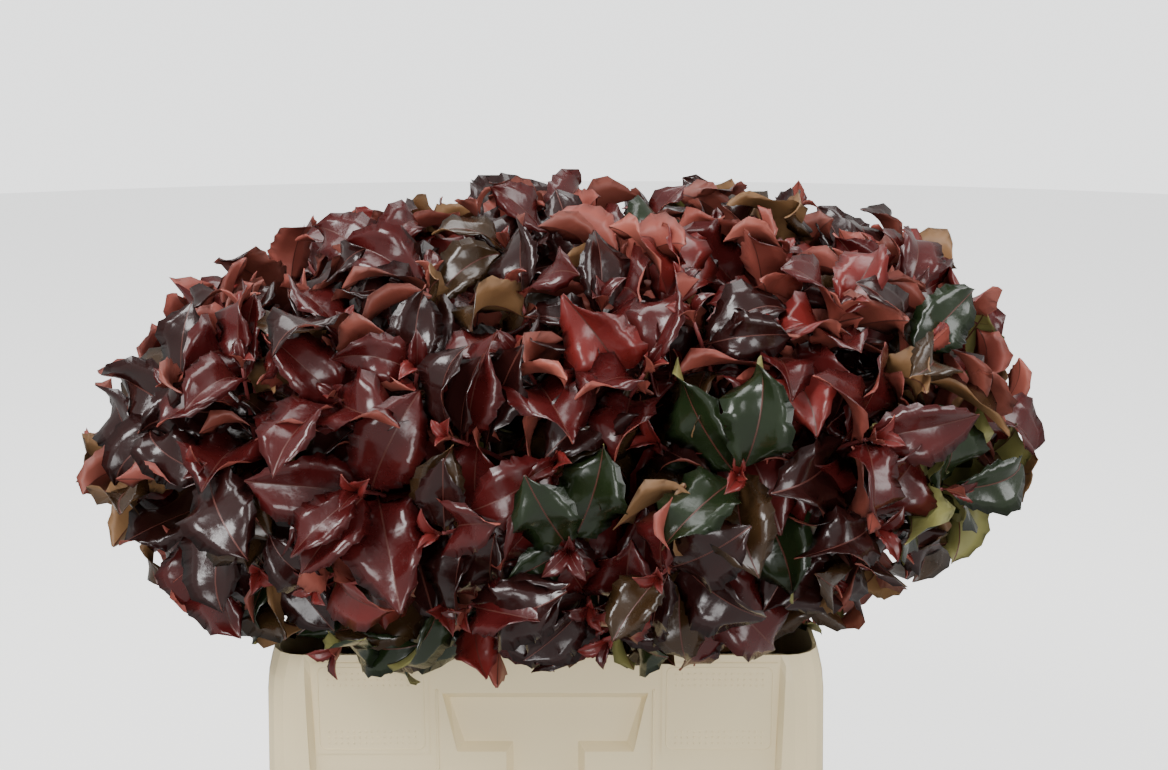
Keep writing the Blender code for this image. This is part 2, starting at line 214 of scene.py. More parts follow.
@dataclass(frozen=True)
class BarkFinish:
    """Young bark, with streaks along the stem."""

    name: str
    dark: Colour
    light: Colour
    roughness: float = 0.5
    streaks: float = 240.0
    relief: float = 0.0004

    def make(self) -> bpy.types.Material:
        """Returns the material."""
        net = Net(self.name)
        streak = net.noise(self.streaks, 4.0, (1, 1, 0.15))
        net.bump(streak, self.relief)
        return net.dress(
            {
                "Base Color": net.mix(streak, self.dark, self.light),
                "Roughness": streak * 0.2 + (self.roughness - 0.1),
            }
        )


@dataclass(frozen=True)
class PlasticFinish:
    """Moulded cream plastic with a fine satin grain and faint cloudiness."""

    name: str = "cream_plastic_satin"
    colour: Colour = (0.88, 0.75, 0.47)
    cloud: Colour = (0.84, 0.70, 0.42)
    roughness: float = 0.42

    def make(self) -> bpy.types.Material:
        """Returns the material."""
        net = Net(self.name)
        grain = net.noise(1800.0, 2.0)
        net.bump(grain, 0.00008, 0.5)
        clouds = net.noise(9.0, 3.0)
        return net.dress(
            {
                "Base Color": net.mix(clouds, self.colour, self.cloud),
                "Roughness": clouds * 0.12 + (self.roughness - 0.06),
            }
        )


@dataclass(frozen=True)
class BackdropFinish:
    """The pale floor and backdrop."""

    name: str = "pale_backdrop"
    colour: Colour = (0.77, 0.755, 0.72)
    glow: Colour = (0.93, 0.95, 0.97)
    glow_strength: float = 0.0

    def make(self) -> bpy.types.Material:
        """Returns the material."""
        net = Net(self.name)
        paper = net.noise(3.0, 2.0)
        lighter = tuple(channel * 1.02 for channel in self.colour)
        return net.dress(
            {
                "Base Color": net.mix(paper, self.colour, lighter),
                "Roughness": 0.9,
                "Emission Color": (*self.glow, 1.0),
                "Emission Strength": self.glow_strength,
            }
        )


class Tone(Enum):
    """The leaf colours, from the oldest leaves to the youngest."""

    FRESH = 0
    GREEN = 1
    BRONZE = 2
    MAROON = 3
    BURGUNDY = 4
    CRIMSON = 5


FACES = {
    Tone.FRESH: LeafFinish("fresh_leaf_face", (0.090, 0.130, 0.026), 0.32, 0.1),
    Tone.GREEN: LeafFinish("green_leaf_face", (0.012, 0.021, 0.007), 0.24, 0.15),
    Tone.BRONZE: LeafFinish("bronze_leaf_face", (0.036, 0.018, 0.007), 0.25, 0.15),
    Tone.MAROON: LeafFinish("maroon_leaf_face", (0.021, 0.0050, 0.0045), 0.23, 0.15),
    Tone.BURGUNDY: LeafFinish("burgundy_leaf_face", (0.062, 0.0065, 0.0065), 0.25, 0.15),
    Tone.CRIMSON: LeafFinish("crimson_leaf_face", (0.150, 0.016, 0.014), 0.30, 0.1),
}
UNDERSIDES = {
    Tone.FRESH: LeafFinish("fresh_leaf_underside", (0.240, 0.290, 0.085), 0.55),
    Tone.GREEN: LeafFinish("green_leaf_underside", (0.190, 0.180, 0.055), 0.55),
    Tone.BRONZE: LeafFinish("bronze_leaf_underside", (0.220, 0.115, 0.048), 0.55),
    Tone.MAROON: LeafFinish("maroon_leaf_underside", (0.200, 0.050, 0.034), 0.52),
    Tone.BURGUNDY: LeafFinish("burgundy_leaf_underside", (0.280, 0.066, 0.048), 0.50),
    Tone.CRIMSON: LeafFinish("crimson_leaf_underside", (0.370, 0.100, 0.072), 0.50),
}
RIB = LeafFinish("leaf_midrib", (0.085, 0.024, 0.018), 0.40)
TWIG_BARK = BarkFinish("crimson_twig_bark", (0.11, 0.020, 0.022), (0.25, 0.050, 0.045), 0.42)
STEM_BARK = BarkFinish("brown_stem_bark", (0.10, 0.045, 0.030), (0.26, 0.130, 0.085), 0.6)


@dataclass
class Palette:
    """Every leaf material once, in the order of the leaf pieces' material slots."""

    materials: list[bpy.types.Material] = field(default_factory=list)

    def __post_init__(self) -> None:
        """Makes the materials: faces, undersides and midrib."""
        finishes = [*(FACES[t] for t in Tone), *(UNDERSIDES[t] for t in Tone), RIB]
        self.materials = [finish.make() for finish in finishes]

    @property
    def rib(self) -> int:
        """The midrib's slot."""
        return 2 * len(Tone)


# Meshes

def add_piece(
    name: str,
    points: np.ndarray,
    faces: list,
    materials: list[bpy.types.Material],
    slots: np.ndarray | None = None,
    smooth: bool = True,
) -> bpy.types.Object:
    """Makes one mesh piece that rides on the part.

    Args:
        name: the piece's name.
        points: its vertices.
        faces: its faces, as tuples of vertex numbers.
        materials: its materials.
        slots: the material slot of each face.
        smooth: whether it is shaded smooth.

    Returns:
        The new object.
    """
    mesh = bpy.data.meshes.new(name)
    mesh.from_pydata(points.tolist() if isinstance(points, np.ndarray) else points, [], faces)
    for material in materials:
        mesh.materials.append(material)
    if slots is not None:
        mesh.polygons.foreach_set("material_index", slots.astype(np.int32))
    mesh.polygons.foreach_set("use_smooth", np.full(len(mesh.polygons), smooth))
    mesh.update()
    made = bpy.data.objects.new(name, mesh)
    bpy.context.scene.collection.objects.link(made)
    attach(made, "root")
    LOG.info("%s: %d faces", name, len(mesh.polygons))
    return made


def across(direction: Vector) -> tuple[Vector, Vector]:
    """Finds two unit vectors square to a direction and to each other.

    Args:
        direction: a unit vector.

    Returns:
        The two vectors.
    """
    side = direction.cross(Vector((0, 0, 1)))
    if side.length < 0.1:
        side = direction.cross(Vector((0, 1, 0)))
    side.normalize()
    return side, direction.cross(side).normalized()


def tube(path: list[Vector], radii: list[float], sides: int, offset: int) -> tuple[list, list]:
    """Skins a closed round tube along a path.

    Args:
        path: its middle line.
        radii: its radius at each point.
        sides: how many sides it has.
        offset: the number of its first vertex.

    Returns:
        Its points and its faces.
    """
    points, faces = [], []
    for i, (centre, radius) in enumerate(zip(path, radii)):
        run = path[min(i + 1, len(path) - 1)] - path[max(i - 1, 0)]
        side, other = across(run.normalized())
        for corner in range(sides):
            turn = 2 * math.pi * corner / sides
            points.append(centre + (side * math.cos(turn) + other * math.sin(turn)) * radius)
    for level in range(len(path) - 1):
        low, high = offset + level * sides, offset + (level + 1) * sides
        for i in range(sides):
            j = (i + 1) % sides
            faces.append((low + i, low + j, high + j, high + i))
    last = offset + (len(path) - 1) * sides
    faces.append(tuple(reversed(range(offset, offset + sides))))
    faces.append(tuple(range(last, last + sides)))
    return points, faces


# The grid of cells and the crown's outline, as in the CAD source

ROWS = (("front", 4), ("middle", 5), ("back", 4))
RIM_HEIGHT = 0.320
SEED = 43
STEM_JITTER = 0.06
STEM_TIP_HEIGHT = 0.010
CELL_GAP = 0.0008
CLEARANCE = 0.0003
WALL_GAP = 0.010
HEADROOM = 0.036
BLOCK = (0.2075, 0.1575, RIM_HEIGHT + 0.002)


@dataclass(frozen=True)
class Crown:
    """The crown's outline, measured from the rim, and the grid that opens inside it."""

    half_width: float = 0.362
    half_depth: float = 0.288
    waist: float = 0.100
    top: float = 0.322
    hang: float = -0.050
    lean: float = 0.22
    blunt_above: float = 2.5
    blunt_below: float = 1.8
    grid_half_width: float = 0.168
    grid_half_depth: float = 0.118
    spread_x: float = 0.57
    spread_y: float = 0.50
    slant: float = 0.30

    def half_sizes(self, height: float) -> tuple[float, float]:
        """Returns half the grid's width and depth at this height above the rim."""
        half_x = self.grid_half_width + self.spread_x * height
        return half_x, self.grid_half_depth + self.spread_y * height

    def grid_point(self, u: float, v: float, height: float) -> Vector:
        """Finds a point of the grid.

        Args:
            u: the place along the row, from -1 to 1.
            v: the place across the rows, from -1 to 1.
            height: the height above the rim.

        Returns:
            The point.
        """
        half_x, half_y = self.half_sizes(height)
        y = v * half_y
        return Vector((u * half_x + self.slant * y, y, RIM_HEIGHT + height))

    def measure(self, point: Vector) -> float:
        """Tells how far out a point is.

        Args:
            point: the point.

        Returns:
            Under 1 inside the outline, over 1 outside it.
        """
        above = point.z - RIM_HEIGHT - self.waist
        reach, blunt = self.waist - self.hang, self.blunt_below
        if above > 0:
            reach, blunt = self.top - self.waist, self.blunt_above
        share_x = abs(point.x - self.lean * above) / self.half_width
        share_y = abs(point.y) / self.half_depth
        return share_x**blunt + share_y**blunt + (abs(above) / reach) ** blunt


CROWN = Crown()


class Cell:
    """One place in a row: a wedge between slanting planes, open outwards at the crown's edge."""

    def __init__(self, row: int, column: int) -> None:
        """Works out the wedge of one place.

        Args:
            row: the row's number.
            column: the place's number in the row.
        """
        row_name, columns = ROWS[row]
        self.name = f"{row_name}_{column + 1}"
        self.random = random.Random(SEED * 1000 + column * 10 + row)
        self.low_u, self.high_u = -1 + 2 * column / columns, -1 + 2 * (column + 1) / columns
        self.low_v, self.high_v = -1 + 2 * row / len(ROWS), -1 + 2 * (row + 1) / len(ROWS)
        self.u = (self.low_u + self.high_u) / 2 + self.random.uniform(-STEM_JITTER, STEM_JITTER)
        self.v = (self.low_v + self.high_v) / 2 + self.random.uniform(-STEM_JITTER, STEM_JITTER)

    def holds(self, point: Vector, gap: float = CELL_GAP) -> bool:
        """Tells whether a point is in this cell and in the crown.

        Args:
            point: the point.
            gap: how far it stays from the neighbours.

        Returns:
            True if it is.
        """
        half_x, half_y = CROWN.half_sizes(point.z - RIM_HEIGHT)
        along = point.x - CROWN.slant * point.y
        if self.low_u > -1 and along - self.low_u * half_x < gap:
            return False
        if self.high_u < 1 and self.high_u * half_x - along < gap:
            return False
        if self.low_v > -1 and point.y - self.low_v * half_y < gap:
            return False
        if self.high_v < 1 and self.high_v * half_y - point.y < gap:
            return False
        return CROWN.measure(point) < 1

    def shoot_length(self, start: Vector, aim: Vector) -> float:
        """Finds how far a shoot grows, leaving room for its leaves at the crown's outside.

        Args:
            start: where it starts.
            aim: its direction.

        Returns:
            Its length.
        """
        step, distance = 0.004, 0.0
        while self.holds(start + aim * (distance + step)):
            distance += step
        walled_in = CROWN.measure(start + aim * (distance + step)) < 1
        return distance - (WALL_GAP if walled_in else HEADROOM)

    def stem_tip(self) -> Vector:
        """Returns the top of the place's stem."""
        return CROWN.grid_point(self.u, self.v, STEM_TIP_HEIGHT)

    def lean(self) -> Vector:
        """Returns the direction in which the stem enters its mass."""
        return (CROWN.grid_point(self.u, self.v, CROWN.waist) - self.stem_tip()).normalized()


# Leaves

@dataclass
class Leaf:
    """One leaf: where it grows and how its blade is bent."""

    root: Vector
    along: Vector
    up: Vector
    length: float
    width: float
    fold: float
    recurve: float
    twist: float
    wave: float
    phase: float
    tone: Tone


@dataclass(frozen=True)
class Blade:
    """The rule that turns leaves into toothed, folded and waved blades."""

    teeth: int = 8
    tooth: float = 0.026
    rib: float = 0.006
    thickness: float = 0.0005
    stalk_share: float = 0.10
    waves: float = 2.2
    side_lag: float = 1.9
    flattening: float = 0.35
    recurve_power: float = 1.6
    twist_power: float = 2.2
    quilt: float = 0.006
    profile_at: tuple = (0.0, 0.10, 0.16, 0.26, 0.38, 0.52, 0.66, 0.78, 0.87, 0.94, 1.0)
    profile: tuple = (0.05, 0.05, 0.34, 0.70, 0.92, 1.00, 0.94, 0.72, 0.42, 0.17, 0.03)

    def stations(self) -> tuple[np.ndarray, np.ndarray]:
        """Returns the places along the blade, and 1 where a tooth's point is."""
        places, points = [0.0], [0.0]
        for tooth in range(self.teeth):
            share = tooth / self.teeth
            start = self.stalk_share + (1 - self.stalk_share) * share
            places += [start, start + (1 - self.stalk_share) * 0.7 / self.teeth]
            points += [0.0, 1.0]
        return np.array(places + [1.0]), np.array(points + [0.0])

    def gather(self, leaves: list[Leaf], name: str) -> np.ndarray:
        """Returns one field of every leaf as an array."""
        return np.array([getattr(leaf, name) for leaf in leaves], float)

    def surface(
        self, leaves: list[Leaf], s: np.ndarray, x: np.ndarray, lift: np.ndarray
    ) -> np.ndarray:
        """Bends flat blades into their place.

        Args:
            leaves: the leaves.
            s: the places along the blade, from 0 to 1.
            x: each point's distance from the midrib, for each leaf, place and column.
            lift: each point's height over the midrib, of the same shape.

        Returns:
            The points, for each leaf, place and column.
        """
        root, along, up = (self.gather(leaves, name) for name in ("root", "along", "up"))
        length = self.gather(leaves, "length")[:, None]
        angle = self.gather(leaves, "recurve")[:, None] * s**self.recurve_power
        middle = (angle[:, 1:] + angle[:, :-1]) / 2
        run = np.diff(s)[None, :] * length
        zero = np.zeros((len(leaves), 1))
        reach = np.hstack([zero, np.cumsum(run * np.cos(middle), axis=1)])
        drop = np.hstack([zero, np.cumsum(run * np.sin(middle), axis=1)])
        centre = root[:, None] + reach[..., None] * along[:, None] - drop[..., None] * up[:, None]
        side = np.cross(along, up)[:, None]
        rise = np.sin(angle)[..., None] * along[:, None] + np.cos(angle)[..., None] * up[:, None]
        turn = (self.gather(leaves, "twist")[:, None] * s**self.twist_power)[..., None]
        out = np.cos(turn) * side + np.sin(turn) * rise
        normal = np.cos(turn) * rise - np.sin(turn) * side
        aside = x[..., None] * out[:, :, None]
        return centre[:, :, None] + aside + lift[..., None] * normal[:, :, None]

    def half_widths(self, leaves: list[Leaf], s: np.ndarray) -> np.ndarray:
        """Returns each leaf's half width at each place along it."""
        sizes = np.array([leaf.length * leaf.width / 2 for leaf in leaves])
        return sizes[:, None] * np.interp(s, self.profile_at, self.profile)[None, :]

    def lifts(self, leaves: list[Leaf], s: np.ndarray, x: np.ndarray) -> np.ndarray:
        """Works out the fold, the waves and the quilting between the veins.

        Args:
            leaves: the leaves.
            s: the places along the blade.
            x: each point's distance from the midrib.

        Returns:
            Each point's height over the midrib.
        """
        length, phase, size, fold = (
            self.gather(leaves, name)[:, None, None] for name in ("length", "phase", "wave", "fold")
        )
        half = self.half_widths(leaves, s)[..., None]
        share = np.abs(x) / np.maximum(half, 1e-6)
        place = s[None, :, None]
        swing = 2 * np.pi * self.waves * place + phase + self.side_lag * (x > 0)
        wave = size * length * np.sin(swing) * share**1.5 * np.sqrt(half / half.max())
        ridges = np.cos(2 * np.pi * self.teeth / 2 * place)
        veins = self.quilt * length * ridges * share * (1 - share)
        return fold * np.abs(x) * (1 - self.flattening * share) + wave + veins

    def proxy(self, leaf: Leaf, narrowing: float) -> list[Vector]:
        """Gives a coarse, narrower blade for tests.

        Args:
            leaf: the leaf.
            narrowing: its width as a share of the real one.

        Returns:
            Its points, three to a row.
        """
        s = np.array([0.10, 0.38, 0.66, 0.87, 1.0])
        half = self.half_widths([leaf], s) * narrowing
        x = half[..., None] * np.array([-1.0, 0.0, 1.0])
        points = self.surface([leaf], s, x, self.lifts([leaf], s, x))
        return [Vector(p) for p in points.reshape(-1, 3)]

    def mesh(self, leaves: list[Leaf], palette: Palette) -> tuple[np.ndarray, list, np.ndarray]:
        """Builds all the leaves of one piece.

        Args:
            leaves: the leaves.
            palette: the leaf materials.

        Returns:
            Their points, faces and material slots.
        """
        s, toothed = self.stations()
        rows = len(s)
        half = self.half_widths(leaves, s)
        length = np.array([leaf.length for leaf in leaves])[:, None]
        edge = half + self.tooth * length * toothed[None, :] * (half > 0.1 * half.max())
        rib = np.minimum(self.rib * length, half * 0.4)
        top_x = np.stack(
            [-edge, -half / 2, -rib, rib, half / 2, edge], 2
        )
        low_x = np.stack([-half / 2, -rib, rib, half / 2], 2)
        low_drop = np.array([1.0, 1.6, 1.6, 1.0]) * self.thickness
        top = self.surface(leaves, s, top_x, self.lifts(leaves, s, top_x))
        low = self.surface(leaves, s, low_x, self.lifts(leaves, s, low_x) - low_drop)
        points = np.concatenate([top, low], 2).reshape(-1, 3)
        columns = 10
        top_ids = list(range(6))
        low_ids = [0, 6, 7, 8, 9, 5]
        faces, kinds = [], []
        for row in range(rows - 1):
            here, after = row * columns, (row + 1) * columns
            for strip in range(5):
                a, b = top_ids[strip], top_ids[strip + 1]
                faces.append((here + a, here + b, after + b))
                faces.append((here + a, after + b, after + a))
                kinds += ["rib" if strip == 2 else "face"] * 2
                a, b = low_ids[strip], low_ids[strip + 1]
                faces.append((here + b, here + a, after + b))
                faces.append((here + a, after + a, after + b))
                kinds += ["rib" if strip == 2 else "under"] * 2
        ring = top_ids + low_ids[-2:0:-1]
        faces.append(tuple(reversed(ring)))
        faces.append(tuple((rows - 1) * columns + corner for corner in ring))
        kinds += ["rib", "rib"]
        all_faces, all_slots = [], []
        for number, leaf in enumerate(leaves):
            offset = number * rows * columns
            slots = {
                "face": leaf.tone.value,
                "under": leaf.tone.value + len(Tone),
                "rib": palette.rib,
            }
            all_faces += [tuple(offset + corner for corner in face) for face in faces]
            all_slots += [slots[kind] for kind in kinds]
        return points, all_faces, np.array(all_slots)


BLADE = Blade()


@dataclass
class Twig:
    """A leafy twig that bends evenly from its start to its end."""

    start: Vector
    end: Vector
    sag: Vector
    radius_start: float
    radius_end: float
    tone: Tone = Tone.MAROON

    @property
    def length(self) -> float:
        """The straight length."""
        return (self.end - self.start).length

    def at(self, t: float) -> Vector:
        """Returns the point at this share of the way."""
        return self.start.lerp(self.end, t) + self.sag * 4 * t * (1 - t)

    def direction(self, t: float) -> Vector:
        """Returns the direction at this share of the way."""
        return (self.end - self.start + self.sag * 4 * (1 - 2 * t)).normalized()

    def radius(self, t: float) -> float:
        """Returns the radius at this share of the way."""
        return self.radius_start + (self.radius_end - self.radius_start) * t

    def path(self, steps: int) -> list[Vector]:
        """Returns evenly spread points from start to end."""
        return [self.at(i / steps) for i in range(steps + 1)]


@dataclass
class Mass:
    """The foliage over one place: twigs that fan out to the crown's outside, and their leaves."""

    cell: Cell
    twig_spacing: float = 0.056
    fan_tries: int = 130
    shade: float = 0.20
    leaf_spacing: float = 0.0075
    leaf_length: float = 0.114
    tries: int = 16
    narrowing: float = 0.62
    grown_after: float = 0.11
    shortest_twig: float = 0.040
    arch: float = 0.05
    fan_angle: float = math.radians(92)
    fork_high: float = 0.62
    fork_low: float = 0.04
    main_radii: tuple[float, float] = (0.0036, 0.0018)
    side_radii: tuple[float, float] = (0.0022, 0.0012)
    young_leaves: int = 3
    twigs: list[Twig] = field(default_factory=list)
    leaves: list[Leaf] = field(default_factory=list)
    trees: list[tuple] = field(default_factory=list)

    def __post_init__(self) -> None:
        """Grows the twigs, then the leaves."""
        self.random = self.cell.random
        lean = self.cell.lean()
        start = self.cell.stem_tip() + lean * CLEARANCE
        end = start + lean * self.cell.shoot_length(start, lean)
        self.twigs.append(Twig(start, end, Vector(), *self.main_radii, self.pick_tone(end)))
        self.fan_out()
        self.grow_leaves()
        self.grow_young_leaves()

    def pick_tone(self, place: Vector) -> Tone:
        """Deals out one tone to a spray by its height.

        Args:
            place: where the spray ends.

        Returns:
            The tone.
        """
        height = place.z - RIM_HEIGHT
        if height < 0.03:
            weights = (0.06, 0.36, 0.30, 0.22, 0.06, 0.0)
        elif height < 0.14:
            weights = (0.0, 0.14, 0.24, 0.44, 0.18, 0.0)
        else:
            weights = (0.0, 0.03, 0.13, 0.50, 0.30, 0.04)
        return self.random.choices(list(Tone), weights)[0]

    def blocked(self, point: Vector) -> bool:
        """Tells whether a point is in the container's block."""
        return abs(point.x) < BLOCK[0] and abs(point.y) < BLOCK[1] and point.z < BLOCK[2]

    def fan_out(self) -> None:
        """Tries evenly spread directions round the main twig, and keeps those in the light."""
        main = self.twigs[0]
        axis = main.direction(0.5)
        side, other = across(axis)
        turn = self.random.uniform(0, 2 * math.pi)
        for k in range(self.fan_tries):
            share = math.sqrt((k + 0.5) / self.fan_tries)
            tilt, angle = self.fan_angle * share, turn + GOLDEN_ANGLE * k
            out = side * math.cos(angle) + other * math.sin(angle)
            aim = axis * math.cos(tilt) + out * math.sin(tilt)
            start = main.at(self.fork_high + (self.fork_low - self.fork_high) * share)
            length = self.cell.shoot_length(start, aim)
            if length < self.shortest_twig:
                continue
            sag = Vector((0, 0, self.arch * length * math.hypot(aim.x, aim.y)))
            twig = Twig(start, start + aim * length, sag, *self.side_radii)
            in_shade = CROWN.measure(twig.end) < self.shade
            if in_shade or any(self.blocked(p) for p in twig.path(6)):
                continue
            if any((twig.end - kept.end).length < self.twig_spacing for kept in self.twigs):
                continue
            twig.tone = self.pick_tone(twig.end)
            self.twigs.append(twig)

    def fits(self, leaf: Leaf) -> bool:
        """Keeps a leaf if it stays in its cell and clears the other leaves.

        Args:
            leaf: the leaf.

        Returns:
            True if it was kept.
        """
        points = BLADE.proxy(leaf, self.narrowing)
        if any(self.blocked(p) or not self.cell.holds(p) for p in points):
            return False
        faces = [
            (row * 3 + c, row * 3 + c + 1, row * 3 + c + 4, row * 3 + c + 3)
            for row in range(4)
            for c in range(2)
        ]
        tree = BVHTree.FromPolygons(points, faces)
        centre = points[4]
        for other_centre, other_length, other in self.trees:
            if (centre - other_centre).length < leaf.length + other_length and tree.overlap(other):
                return False
        self.trees.append((centre, leaf.length, tree))
        self.leaves.append(leaf)
        return True

    def try_leaf(self, twig: Twig, below_tip: float, turn: float) -> None:
        """Adds a leaf at a distance below a twig's tip, if one of its seeded tries fits.

        Args:
            twig: the twig.
            below_tip: the distance.
            turn: the leaf's place in the spiral.
        """
        t = 1 - below_tip / twig.length
        axis = twig.direction(t)
        side, other = across(axis)
        age = min(1.0, below_tip / self.grown_after)
        spread = self.random.uniform
        for attempt in range(self.tries):
            loose = attempt / self.tries
            angle = turn + spread(-1, 1) * (0.3 + math.pi * loose)
            pitch = math.radians(32 + 50 * age + 14 * spread(-1, 1 + 2 * loose))
            out = side * math.cos(angle) + other * math.sin(angle)
            along = axis * math.cos(pitch) + out * math.sin(pitch)
            up = axis * math.sin(pitch) - out * math.cos(pitch)
            roll = spread(-0.7, 0.7)
            up = up * math.cos(roll) + along.cross(up) * math.sin(roll)
            length = self.leaf_length * (0.72 + 0.28 * age) * spread(0.88, 1.12) * (1 - 0.3 * loose)
            leaf = Leaf(
                root=twig.at(t),
                along=along,
                up=up,
                length=length,
                width=spread(0.46, 0.58),
                fold=spread(0.20, 0.95),
                recurve=spread(0.3, 1.9),
                twist=spread(-2.3, 2.3),
                wave=spread(0.04, 0.11),
                phase=spread(0, 2 * math.pi),
                tone=self.leaf_tone(twig.tone, age),
            )
            if self.fits(leaf):
                return

    def leaf_tone(self, tone: Tone, age: float) -> Tone:
        """Shifts a spray's tone a step for older or younger leaves.

        Args:
            tone: the spray's tone.
            age: the leaf's age, from 0 to 1.

        Returns:
            The leaf's tone.
        """
        chances = (0.10 + 0.15 * age, 0.60, 0.22 - 0.12 * age)
        step = self.random.choices((-1, 0, 1), chances)[0]
        greenest = min(tone.value, Tone.GREEN.value)
        return Tone(max(greenest, min(Tone.CRIMSON.value, tone.value + step)))

    def grow_leaves(self) -> None:
        """Puts leaves round every twig in a spiral, in a mixed order."""
        places = []
        for twig in self.twigs:
            turn = self.random.uniform(0, 2 * math.pi)
            count = int(twig.length * 0.96 / self.leaf_spacing)
            places += [
                ((k + 0.4) * self.leaf_spacing, twig, turn + GOLDEN_ANGLE * k)
                for k in range(count)
            ]
        self.random.shuffle(places)
        for below_tip, twig, turn in places:
            if CROWN.measure(twig.at(1 - below_tip / twig.length)) > self.shade / 2:
                self.try_leaf(twig, below_tip, turn)

    def grow_young_leaves(self) -> None:
        """Puts a few small curled leaves at each twig's tip."""
        spread = self.random.uniform
        for twig in self.twigs:
            side, other = across(twig.direction(1.0))
            turn = spread(0, 2 * math.pi)
            for k in range(self.young_leaves):
                angle, pitch = turn + GOLDEN_ANGLE * k, math.radians(spread(4, 20))
                out = side * math.cos(angle) + other * math.sin(angle)
                axis = twig.direction(1.0)
                self.leaves.append(
                    Leaf(
                        root=twig.at(1.0),
                        along=axis * math.cos(pitch) + out * math.sin(pitch),
                        up=axis * math.sin(pitch) - out * math.cos(pitch),
                        length=spread(0.018, 0.034),
                        width=0.36,
                        fold=0.9,
                        recurve=spread(0.4, 1.8),
                        twist=spread(-0.8, 0.8),
                        wave=0.03,
                        phase=spread(0, 6),
                        tone=self.random.choice((Tone.BURGUNDY, Tone.CRIMSON)),
                    )
                )

    def build(self, palette: Palette, bark: bpy.types.Material, slot: str) -> None:
        """Makes the leaves piece and the twigs piece that replace the CAD mass.

        Args:
            palette: the leaf materials.
            bark: the twigs' material.
            slot: the record's slot of the mass; not used.
        """
        points, faces, slots = BLADE.mesh(self.leaves, palette)
        leaves = add_piece(f"leaves_{self.cell.name}", points, faces, palette.materials, slots)
        twig_points, twig_faces = [], []
        for twig in self.twigs:
            path = twig.path(8)
            radii = [twig.radius(i / 8) * (1.0 + 0.12 * (i % 2)) for i in range(9)]
            made, skin = tube(path, radii, 8, len(twig_points))
            twig_points += made
            twig_faces += skin
        twigs = add_piece(f"twigs_{self.cell.name}", np.array(twig_points), twig_faces, [bark])
        for piece in (leaves, twigs):
            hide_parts(f"foliage_{self.cell.name}")


@dataclass
class Foliage:
    """All thirteen masses."""

    slots: tuple[str, str, str] = ("maroon_leaf", "red_leaf", "bronze_leaf")

    def build(self) -> None:
        """Grows and dresses every mass."""
        palette, bark = Palette(), TWIG_BARK.make()
        total = 0
        for row, (_, columns) in enumerate(ROWS):
            for column in range(columns):
                mass = Mass(Cell(row, column))
                mass.build(palette, bark, self.slots[(column + 2 * row) % 3])
                total += len(mass.leaves)
        LOG.info("leaves in all: %d", total)


@dataclass
class CutStems:
    """The cut stems: three round ones at each place, with swellings where leaves were."""

    foot_radius: float = 0.0048
    tip_radius: float = 0.0034
    floor: float = 0.0033
    foot_spread: float = 0.50
    straight: float = 0.020
    bend: float = 0.45
    levels: int = 40
    node_every: int = 5
    together: float = 0.0075
    foot_together: float = 0.6

    def path(self, cell: Cell, turn: float, distance: float) -> list[Vector]:
        """Works out one stem's middle line.

        Args:
            cell: the place.
            turn: the side on which it stands beside the place's middle.
            distance: how far it stands from it.

        Returns:
            Its points, from the container's floor to its tip.
        """
        aside = Vector((math.cos(turn), math.sin(turn), 0)) * distance
        tip = cell.stem_tip() + aside
        foot = Vector((tip.x * self.foot_spread, tip.y * self.foot_spread, self.floor))
        foot = foot + aside * self.foot_together
        start = foot + Vector((0, 0, self.straight))
        knee = tip - cell.lean() * (tip.z - start.z) * self.bend
        points = [foot]
        for level in range(self.levels):
            t = level / (self.levels - 1)
            points.append(start * (1 - t) ** 2 + knee * 2 * t * (1 - t) + tip * t**2)
        return points

    def build(self) -> None:
        """Makes every stem as one piece that replaces the CAD stems."""
        points, faces, names = [], [], []
        for row, (_, columns) in enumerate(ROWS):
            for column in range(columns):
                cell = Cell(row, column)
                names.append(f"stem_{cell.name}")
                for k in range(3):
                    distance = 0.0 if k == 0 else self.together + 0.001 * k
                    path = self.path(cell, 1.1 * column + 2.4 * k, distance)
                    radii = []
                    for i in range(len(path)):
                        share = i / (len(path) - 1)
                        radius = self.foot_radius + (self.tip_radius - self.foot_radius) * share
                        swelling = 1.16 if i % self.node_every == 0 and 0 < share < 1 else 1.0
                        radii.append(radius * swelling * (1.0 if k == 0 else 0.72))
                    made, skin = tube(path, radii, 12, len(points))
                    points += made
                    faces += skin
        piece = add_piece("cut_stems", np.array(points), faces, [STEM_BARK.make()])
        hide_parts(*names)


